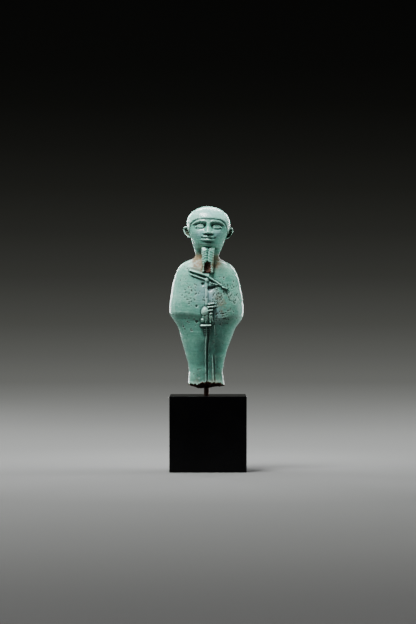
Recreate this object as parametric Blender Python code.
"""A moulded faience figure of an Egyptian god on its collector's mount.

Metres, +Z up, the front faces -Y, and the origin is the middle of the block's underside.
The figure is one solid: a body in a close cloak, a head in a skull cap, two ears, a straight beard and,
in low relief on the front, two fists round a sceptre. Its feet are broken away. A pin that is set in a
black block goes up into the break and holds the figure.
"""

import math

import bmesh
import bpy
import numpy as np

MM = 0.001

# Driving dimensions
FIGURE_HEIGHT = 71.4 * MM
FIGURE_LIFT = 2.8 * MM
BLOCK_WIDTH = 30.0 * MM
BLOCK_DEPTH = 30.0 * MM
BLOCK_HEIGHT = 29.5 * MM
BLOCK_EDGE = 0.25 * MM
PIN_DIAMETER = 1.9 * MM
PIN_CHAMFER = 0.25 * MM
PIN_DEPTH_IN_BLOCK = 15.0 * MM
PIN_DEPTH_IN_FIGURE = 12.0 * MM
FIT_GAP = 0.3 * MM

# The figure is drawn in hundredths of its own height, from 0 at the tip of the break to 100 at the crown
UNIT = FIGURE_HEIGHT / 100
FIGURE_BASE = BLOCK_HEIGHT + FIGURE_LIFT
BREAK_EDGE = 3.0
HEAD_WIDEST = 90.5
CROWN = 100.0
CROWN_FULLNESS = 2.0

# Rails of the figure: height, then the distance from the centre line
SIDE_RAIL = [
    (0.0, 10.4), (3.5, 9.8), (9.0, 9.3), (13.0, 9.65), (18.8, 11.2), (28.7, 14.15), (33.5, 15.9),
    (37.5, 18.6), (40.5, 20.1), (44.0, 20.3), (48.5, 19.9), (55.2, 18.9), (61.8, 17.25), (66.0, 15.3),
    (68.4, 13.0), (70.0, 9.8), (71.0, 7.6), (71.9, 6.6), (73.4, 6.5), (76.7, 7.5), (80.0, 8.8),
    (82.0, 9.5), (86.0, 10.95), (90.5, 11.6),
]
FRONT_RAIL = [
    (0.0, 9.4), (5.0, 7.8), (10.0, 7.3), (18.0, 8.0), (28.0, 9.3), (36.5, 10.1), (42.0, 10.6),
    (48.0, 10.9), (56.0, 11.0), (62.0, 10.5), (66.0, 9.4), (69.5, 7.5), (72.0, 6.2), (75.0, 6.0),
    (76.2, 6.6), (77.6, 9.5), (79.2, 10.8), (84.0, 11.3), (90.5, 11.2),
]
BACK_RAIL = [
    (0.0, 7.6), (8.0, 6.6), (14.0, 7.2), (24.0, 8.4), (34.0, 9.9), (40.0, 10.2), (46.0, 9.3),
    (54.0, 9.0), (61.0, 9.4), (66.0, 9.0), (70.0, 7.4), (73.5, 6.6), (77.0, 7.3), (81.0, 9.6),
    (86.0, 11.6), (90.5, 12.3),
]
# How square a level section is: 2 is an ellipse
SQUARENESS = [(0.0, 2.3), (40.0, 2.55), (60.0, 2.55), (70.0, 2.2), (75.0, 2.0), (84.0, 2.15), (90.5, 2.2)]
# The figure leans a little to its left and its left side hangs a little lower
CENTRE_LINE = [
    (0.0, -0.9), (8.0, -1.1), (20.0, -1.2), (32.0, -0.8), (50.0, -0.75), (66.0, -0.75), (74.0, -0.4),
    (80.0, -0.05), (90.0, 0.3), (100.0, 0.45),
]
SIDE_DROP = [(0.0, 0.0), (28.0, 0.0), (40.0, 0.035), (70.0, 0.03), (100.0, 0.03)]
# Lower edge of the forearms under the cloth: place from the middle, then height
ARM_EDGE = [(-20.0, 40.6), (-10.0, 40.2), (-2.0, 39.2), (5.0, 37.8), (10.0, 38.4), (18.0, 40.2)]

# The cap: degrees round the head from the face, then the height of its edge
CAP_EDGE = [
    (0, 93.1), (30, 92.8), (50, 91.1), (62, 88.6), (72, 85.9), (85, 85.2), (105, 83.0), (150, 80.3),
    (180, 79.9),
]
CAP_THICKNESS = 0.35

# Mesh spacing of the figure's skin before it is simplified
FRONT_COLUMNS = 84
BACK_COLUMNS = 30
BODY_RINGS = 140
CROWN_RINGS = 22
BREAK_RINGS = 6
FIGURE_KEEP = 0.222
ROUND_SIDES = 32


def curve(points, at):
    """A smooth curve through the points that never swings past them."""
    knots, values = np.array(points, float).T
    step = np.diff(knots)
    slope = np.diff(values) / step
    before, after = slope[:-1], slope[1:]
    turning = before * after <= 0
    near = 2 * step[1:] + step[:-1]
    far = step[1:] + 2 * step[:-1]
    mixed = np.where(turning, 1.0, near * after + far * before)
    inner = np.where(turning, 0.0, (near + far) * before * after / mixed)
    tangent = np.concatenate([[slope[0]], inner, [slope[-1]]])
    at = np.clip(at, knots[0], knots[-1])
    i = np.clip(np.searchsorted(knots, at) - 1, 0, len(step) - 1)
    t = (at - knots[i]) / step[i]
    return (
        values[i] * (1 + 2 * t) * (1 - t) ** 2
        + tangent[i] * step[i] * t * (1 - t) ** 2
        + values[i + 1] * t**2 * (3 - 2 * t)
        - tangent[i + 1] * step[i] * t**2 * (1 - t)
    )


def ramp(value, low, high):
    """0 below low, 1 above high, smooth between."""
    t = np.clip((value - low) / (high - low), 0, 1)
    return t * t * (3 - 2 * t)


def mound(x, z, middle, radii):
    """A soft rise of height 1."""
    return np.exp(-(((x - middle[0]) / radii[0]) ** 2) - ((z - middle[1]) / radii[1]) ** 2)


def dome(x, z, middle, radii):
    """A round rise of height 1 with a clear edge."""
    r = np.hypot((x - middle[0]) / radii[0], (z - middle[1]) / radii[1])
    return np.sqrt(np.clip(1 - r**2, 0, 1)) * (1 - ramp(r, 0.9, 1.0))


def bar(x, z, start, end, halves, soft=0.3):
    """A straight ridge of height 1 from start to end, with its half width at each end."""
    run, climb = end[0] - start[0], end[1] - start[1]
    along = ((x - start[0]) * run + (z - start[1]) * climb) / (run**2 + climb**2)
    along = np.clip(along, 0, 1)
    away = np.hypot(x - start[0] - along * run, z - start[1] - along * climb)
    half = halves[0] + (halves[1] - halves[0]) * along
    return 1 - ramp(away, 0.35 * half, half + soft)


def arc_ridge(x, z, heights, half, soft=0.2):
    """A ridge of height 1 along a line that is given as (x, z) points."""
    return 1 - ramp(np.abs(z - curve(heights, x)), 0.3 * half, half + soft)


def within(x, low, high, soft=0.4):
    """1 between low and high, and 0 outside."""
    return ramp(x, low - soft, low + soft) * (1 - ramp(x, high - soft, high + soft))


def eye_relief(x, z):
    """Both eyes: a socket, an almond with rims, and a brow above. x is taken from the middle outwards."""
    across = np.abs(x)
    socket = -1.5 * mound(across, z, (4.6, 88.7), (3.4, 1.9))
    upper = [(2.1, 88.2), (3.4, 89.35), (4.9, 89.65), (6.3, 89.2), (7.6, 88.2)]
    lower = [(2.1, 88.2), (3.4, 87.5), (4.9, 87.3), (6.3, 87.5), (7.6, 88.2)]
    inside = ramp(curve(upper, across) - z, 0.0, 0.5) * ramp(z - curve(lower, across), 0.0, 0.4)
    inside = inside * within(across, 2.4, 7.2, 0.3)
    ball = 1.25 * inside * (0.75 + 0.25 * mound(across, z, (4.8, 88.5), (1.8, 1.0)))
    span = within(across, 2.2, 8.0, 0.4)
    lid = 0.85 * arc_ridge(across, z, upper, 0.38) * span
    under = 0.6 * arc_ridge(across, z, lower, 0.3) * within(across, 2.3, 7.3, 0.3)
    brow_line = [(0.8, 91.2), (3.0, 91.75), (5.5, 91.6), (8.0, 90.6), (9.6, 89.5)]
    brow = 0.55 * arc_ridge(across, z, brow_line, 0.55, 0.3) * within(across, 1.2, 9.2, 0.6)
    return socket + np.maximum(ball, np.maximum(lid, under)) + brow


def nose_relief(x, z):
    across = np.abs(x)
    down = np.clip((91.0 - z) / (91.0 - 85.2), 0, 1)
    rise = 0.45 + 1.75 * down**1.2
    half = 0.8 + 0.95 * down
    ridge = rise * (1 - ramp(across, 0.3 * half, half + 0.9))
    ridge = ridge * (1 - ramp(z, 90.4, 92.2)) * ramp(z, 83.8, 85.4)
    wings = 1.35 * mound(across, z, (1.75, 85.2), (0.95, 0.9)) * ramp(z, 83.8, 84.9)
    return np.maximum(ridge, wings)


def mouth_relief(x, z):
    across = np.abs(x)
    muzzle = 0.9 * mound(x, z, (0, 82.2), (4.2, 2.6))
    line = curve([(0.0, 82.1), (1.6, 82.2), (3.2, 82.45)], across)
    upper = 0.75 * mound(across, z, (1.0, 82.95), (1.9, 0.55)) * ramp(z - line, 0.0, 0.3)
    lower = 0.85 * mound(across, z, (0.0, 81.25), (2.3, 0.6)) * ramp(line - z, 0.0, 0.3)
    corner = -0.55 * mound(across, z, (3.3, 82.4), (0.6, 0.6))
    under = -0.45 * mound(across, z, (0.0, 80.1), (2.2, 0.5))
    return muzzle + upper + lower + corner + under


def face_relief(x, z):
    across = np.abs(x)
    cheek = 0.5 * mound(across, z, (6.0, 85.0), (3.0, 2.8))
    chin = 0.5 * mound(x, z, (0, 78.5), (2.8, 1.2))
    whole = eye_relief(x, z) + nose_relief(x, z) + mouth_relief(x, z) + cheek + chin
    return whole * ramp(z, 76.5, 78.0) * (1 - ramp(z, 92.2, 93.2))


def sceptre_relief(x, z):
    """A long slanting animal head with raised ears on a straight staff. Bars step in below the fists."""
    crest = 1.15 * bar(x, z, (-9.6, 64.4), (1.4, 61.0), (0.5, 0.75))
    snout = 1.2 * bar(x, z, (1.4, 61.0), (11.3, 55.1), (0.8, 0.65))
    ear = 0.85 * bar(x, z, (-8.5, 62.1), (0.2, 59.3), (0.4, 0.7))
    jaw = 0.9 * bar(x, z, (1.2, 57.8), (5.8, 56.7), (0.6, 0.45))
    upper_staff = 0.7 * bar(x, z, (0.0, 59.2), (0.1, 46.0), (0.95, 0.85), 0.4)
    lower_staff = 0.75 * bar(x, z, (0.1, 34.0), (0.0, BREAK_EDGE - 1), (0.55, 0.5))
    shapes = [crest, snout, ear, jaw, upper_staff, lower_staff]
    foot_bars = [(34.5, 2.4, 0.62), (32.8, 1.75, 0.4), (31.6, 1.45, 0.36), (30.5, 1.15, 0.34)]
    for height, half_length, half in foot_bars:
        shapes.append(1.15 * bar(x, z, (-half_length, height), (half_length, height), (half, half), 0.25))
    return np.maximum.reduce(shapes)


def hand_relief(x, z):
    """One fist closes round the staff from the side. The fingers of the other fan out below it."""
    shapes = [1.8 * dome(x, z, (-0.8, 42.0), (2.5, 2.9)), 1.4 * dome(x, z, (0.8, 39.0), (3.4, 3.0))]
    for k in range(3):
        level = 45.9 - 1.6 * k
        finger = bar(x, z, (0.0, level - 0.3), (5.2 - 0.8 * k, level), (0.75, 0.6), 0.25)
        shapes.append((1.75 - 0.1 * k) * finger)
    for k in range(4):
        tip = -2.5 + 1.8 * k
        finger = bar(x, z, (0.2 + 0.55 * tip, 39.8), (tip, 36.6), (0.7, 0.58), 0.25)
        shapes.append(1.55 * finger)
    return np.maximum.reduce(shapes)


def cloak_relief(x, z):
    """The cloth over the forearms and the fine edge that runs down beside the staff."""
    forearms = 1.1 * ramp(z - curve(ARM_EDGE, x), -1.7, 1.4) * (1 - ramp(z, 46.0, 60.0))
    hollow = -0.45 * mound(x, z, (1.7, 20.0), (0.9, 16.0))
    edge = 0.5 * bar(x, z, (3.7, 18.5), (4.1, BREAK_EDGE - 1), (0.3, 0.5), 0.3)
    return forearms + hollow + edge * (1 - ramp(z, 14.0, 20.0))


def front_relief(x, z):
    """How far the front of the figure stands forward of its rails."""
    raised = np.maximum(sceptre_relief(x, z), hand_relief(x, z))
    return face_relief(x, z) + cloak_relief(x, z) + raised


def break_edge(turn):
    """The uneven height of the broken edge round the ankles."""
    waves = 0.45 * np.sin(3 * turn + 0.6) + 0.35 * np.sin(7 * turn + 2.0) + 0.2 * np.sin(17 * turn)
    return BREAK_EDGE + waves


def column_turns():
    """Angles round the figure from its front, in degrees, closer together over the face and hands."""
    share = np.linspace(-1, 1, FRONT_COLUMNS + 1)
    front = 90 * (0.55 * share + 0.45 * share**3)
    back = np.linspace(90, 270, BACK_COLUMNS + 1)[1:-1]
    return np.concatenate([front, back])


def ring_heights():
    """Heights of the rings from the break to the widest part of the head, closer at the carving."""
    at = np.linspace(BREAK_EDGE, HEAD_WIDEST, 800)
    hands, sceptre, head = within(at, 30, 47, 2), within(at, 54, 65, 2), within(at, 75.5, 99, 1)
    density = 0.55 + 0.55 * hands + 0.5 * sceptre + 1.3 * head
    total = np.concatenate([[0], np.cumsum(density[1:] + density[:-1])])
    return np.interp(np.linspace(0, total[-1], BODY_RINGS), total, at)


def figure_rings():
    """The skin of the figure as an array of rings, in units, and its two end points."""
    turns = np.radians(column_turns())[None, :]
    heights = ring_heights()[:, None]
    low = 1 - ramp(heights, BREAK_EDGE, 9.0)
    body_z = heights + low * (break_edge(turns) - BREAK_EDGE)
    climb = np.radians(np.linspace(0, 90, CROWN_RINGS + 2)[1:-1])[:, None]
    power = 2 / CROWN_FULLNESS
    crown_z = HEAD_WIDEST + (CROWN - HEAD_WIDEST) * np.sin(climb) ** power + 0 * turns
    z = np.concatenate([body_z, crown_z])
    shrink = np.concatenate([np.ones_like(heights), np.cos(climb) ** power])

    side = curve(SIDE_RAIL, z) * shrink
    front = curve(FRONT_RAIL, z) * shrink
    back = curve(BACK_RAIL, z) * shrink
    square = curve(SQUARENESS, z)
    across = np.sin(turns)
    depth = (1 - np.abs(across) ** square).clip(0) ** (1 / square)
    faces_front = np.cos(turns) > 0

    round_head = np.degrees(np.abs(np.where(turns > math.pi, turns - 2 * math.pi, turns)))
    cap = CAP_THICKNESS * ramp(z - curve(CAP_EDGE, round_head), -0.15, 0.25) * (1 - ramp(z, 97, CROWN))
    x = across * (side + cap)
    y = np.where(faces_front, -depth * (front + cap), depth * (back + cap))
    forward = (1 - ramp(np.abs(across), 0.86, 0.99)) * faces_front
    y = y - front_relief(x, z) * forward

    rings = np.stack([x, y, z], axis=-1)
    tip = np.array([-2.6, -1.0, 0.0])
    inner = []
    for k in range(1, BREAK_RINGS):
        share = 1 - k / BREAK_RINGS
        loop = tip + (rings[0] - tip) * share
        rough = 0.35 * (1 + np.sin(1.9 * loop[:, 0] + 1.3 * k) * np.cos(1.6 * loop[:, 1]))
        loop[:, 2] = rings[0][:, 2] * share**1.3 + rough * share * (1 - share) * 2
        inner.append(loop)
    rings = np.concatenate([np.array(inner[::-1]), rings])
    return rings, tip, np.array([0.0, 0.0, CROWN])


def placed(points):
    """Leans the figure, lets its left side hang and sets it over the block, in metres."""
    points = np.array(points, float)
    x, y, z = points[..., 0], points[..., 1], points[..., 2]
    hung = z - curve(SIDE_DROP, z) * x
    moved = np.stack([x + curve(CENTRE_LINE, z), y, hung], axis=-1) * UNIT
    moved[..., 2] += FIGURE_BASE
    return moved


def skin_faces(ring_count, column_count):
    """Quads between rings, and a fan to a point at each end. The end points come after all rings."""
    faces = []
    for i in range(ring_count - 1):
        for j in range(column_count):
            k = (j + 1) % column_count
            low, high = i * column_count, (i + 1) * column_count
            faces.append((low + j, low + k, high + k, high + j))
    first = ring_count * column_count
    last_ring = first - column_count
    for j in range(column_count):
        k = (j + 1) % column_count
        faces.append((first, k, j))
        faces.append((first + 1, last_ring + j, last_ring + k))
    return faces


def new_object(name, points, faces, material=None):
    """A closed mesh object with its faces pointing out."""
    mesh = bpy.data.meshes.new(name)
    mesh.from_pydata([tuple(p) for p in points], [], faces)
    work = bmesh.new()
    work.from_mesh(mesh)
    bmesh.ops.recalc_face_normals(work, faces=work.faces)
    work.to_mesh(mesh)
    work.free()
    mesh.shade_smooth()
    obj = bpy.data.objects.new(name, mesh)
    bpy.context.scene.collection.objects.link(obj)
    if material:
        mesh.materials.append(material)
    return obj


def closed_stack(name, rings, start, end, material=None):
    """An object from rings of points with a point that closes each end."""
    rings = np.array(rings, float)
    points = np.concatenate([rings.reshape(-1, 3), [start], [end]])
    return new_object(name, points, skin_faces(rings.shape[0], rings.shape[1]), material)


def as_helper(obj):
    obj.hide_render = True
    obj.display_type = "WIRE"
    return obj


def ear_shape(name, side):
    """A cupped ear with a rolled rim that faces forward and a little outward. side is 1 or -1."""
    middle = np.array([side * 11.1, -1.0, 85.5])
    yaw, lean = math.radians(28), math.radians(21)
    half_width, half_height = 2.45, 3.45
    outward = np.array([side * math.cos(yaw), math.sin(yaw), 0])
    facing = np.array([side * math.sin(yaw), -math.cos(yaw), 0])
    upward = np.array([0, 0, math.cos(lean)]) + outward * math.sin(lean)
    around = np.radians(np.arange(0, 360, 15))[:, None]

    def loop(reach, lift):
        width = half_width * (1 + 0.18 * np.sin(around)) * np.cos(around) * reach
        height = half_height * np.sin(around) * reach
        return middle + width * outward + height * upward + lift * facing

    rim_middle, rim_width = 0.78, 0.17
    rings = []
    for reach in (0.12, 0.3, 0.45, 0.58, 0.68, 0.78, 0.88, 0.96):
        rim = math.exp(-(((reach - rim_middle) / rim_width) ** 2))
        rings.append(loop(reach, 1.15 * rim - 0.25 * (1 - reach)))
    rings.append(loop(1.0, 0.0))
    for reach in (0.92, 0.75, 0.5, 0.25):
        rings.append(loop(reach, -1.5 * math.sqrt(1 - reach**2)))
    ends = placed([middle - 0.25 * facing, middle - 1.5 * facing])
    return as_helper(closed_stack(name, placed(rings), ends[0], ends[1]))


def beard_shape():
    """A straight beard on a narrower web. The front of its lower half has broken away."""
    top, bottom = 77.0, 63.6
    scar_top, scar_half, scar_depth = 68.4, 1.8, 1.7
    front_share = np.linspace(-1, 1, 15)
    rings = []
    for level in np.linspace(bottom, top, 32):
        upness = (level - bottom) / (top - bottom)
        half = 2.7 + 0.7 * upness
        face_y = -12.1 + 1.0 * upness
        loop = []
        for share in front_share:
            x = half * share
            rounding = 0.5 * abs(share) ** 4
            groove = 0.3 * math.exp(-((x / 0.8) ** 2)) * upness
            beyond = math.hypot(x / scar_half, max(level - scar_top, 0) / scar_half)
            scar = scar_depth * float(1 - ramp(beyond, 0.75, 1.1))
            loop.append((x, face_y + rounding + groove + scar, level))
        loop += [(half, -9.6, level), (1.9, -8.9, level), (1.9, -4.0, level)]
        loop += [(-1.9, -4.0, level), (-1.9, -8.9, level), (-half, -9.6, level)]
        rings.append(loop)
    ends = placed([(0, -9.3, bottom - 0.5), (0, -9.3, top + 0.5)])
    return as_helper(closed_stack("beard_shape", placed(rings), ends[0], ends[1]))


def pin_middle():
    """The pin stands under the middle of the ankles."""
    return float(curve(CENTRE_LINE, 0.0)) * UNIT


def rod(name, radius, bottom, top, material=None):
    """A round upright rod on the pin's line."""
    mesh = bpy.data.meshes.new(name)
    work = bmesh.new()
    bmesh.ops.create_cone(
        work, cap_ends=True, segments=ROUND_SIDES, radius1=radius, radius2=radius, depth=top - bottom
    )
    work.to_mesh(mesh)
    work.free()
    obj = bpy.data.objects.new(name, mesh)
    obj.location = (pin_middle(), 0, (top + bottom) / 2)
    bpy.context.scene.collection.objects.link(obj)
    mesh.shade_smooth()
    mesh.set_sharp_from_angle(angle=math.radians(40))
    if material:
        mesh.materials.append(material)
    return obj


def boolean(obj, other, operation):
    modifier = obj.modifiers.new(f"{operation.lower()} {other.name}", "BOOLEAN")
    modifier.operation = operation
    modifier.object = other


def bevel(obj, width, segments):
    modifier = obj.modifiers.new("edges", "BEVEL")
    modifier.width = width
    modifier.segments = segments
    modifier.limit_method = "ANGLE"


def material(name, colour, roughness, metallic=0.0):
    made = bpy.data.materials.new(name)
    made.use_nodes = True
    shader = made.node_tree.nodes["Principled BSDF"]
    shader.inputs["Base Color"].default_value = (*colour, 1)
    shader.inputs["Roughness"].default_value = roughness
    shader.inputs["Metallic"].default_value = metallic
    return made


def make_figure(faience):
    rings, tip, crown = figure_rings()
    tip, crown = placed([tip, crown])
    figure = closed_stack("ptah_figure", placed(rings), tip, crown, faience)
    boolean(figure, ear_shape("right_ear_shape", -1), "UNION")
    boolean(figure, ear_shape("left_ear_shape", 1), "UNION")
    boolean(figure, beard_shape(), "UNION")
    bore_top = FIGURE_BASE + PIN_DEPTH_IN_FIGURE + FIT_GAP
    bore = rod("figure_bore", PIN_DIAMETER / 2 + FIT_GAP, BLOCK_HEIGHT, bore_top)
    boolean(figure, as_helper(bore), "DIFFERENCE")
    simplify = figure.modifiers.new("simplify", "DECIMATE")
    simplify.ratio = FIGURE_KEEP


def make_block(black_wood):
    mesh = bpy.data.meshes.new("black_block")
    work = bmesh.new()
    bmesh.ops.create_cube(work, size=1)
    bmesh.ops.scale(work, vec=(BLOCK_WIDTH, BLOCK_DEPTH, BLOCK_HEIGHT), verts=work.verts)
    work.to_mesh(mesh)
    work.free()
    block = bpy.data.objects.new("black_block", mesh)
    block.location = (0, 0, BLOCK_HEIGHT / 2)
    bpy.context.scene.collection.objects.link(block)
    mesh.materials.append(black_wood)
    bevel(block, BLOCK_EDGE, 4)
    bore_floor = BLOCK_HEIGHT - PIN_DEPTH_IN_BLOCK - FIT_GAP
    bore = rod("block_bore", PIN_DIAMETER / 2 + FIT_GAP, bore_floor, BLOCK_HEIGHT + FIGURE_LIFT)
    boolean(block, as_helper(bore), "DIFFERENCE")


def make_pin(brown_metal):
    bottom = BLOCK_HEIGHT - PIN_DEPTH_IN_BLOCK
    pin = rod("mount_pin", PIN_DIAMETER / 2, bottom, FIGURE_BASE + PIN_DEPTH_IN_FIGURE, brown_metal)
    bevel(pin, PIN_CHAMFER, 2)


def main():
    for obj in list(bpy.data.objects):
        bpy.data.objects.remove(obj)
    make_figure(material("faience", (0.42, 0.62, 0.57), 0.35))
    make_block(material("black_wood", (0.008, 0.008, 0.009), 0.4))
    make_pin(material("brown_metal", (0.12, 0.07, 0.05), 0.5, 0.8))


main()
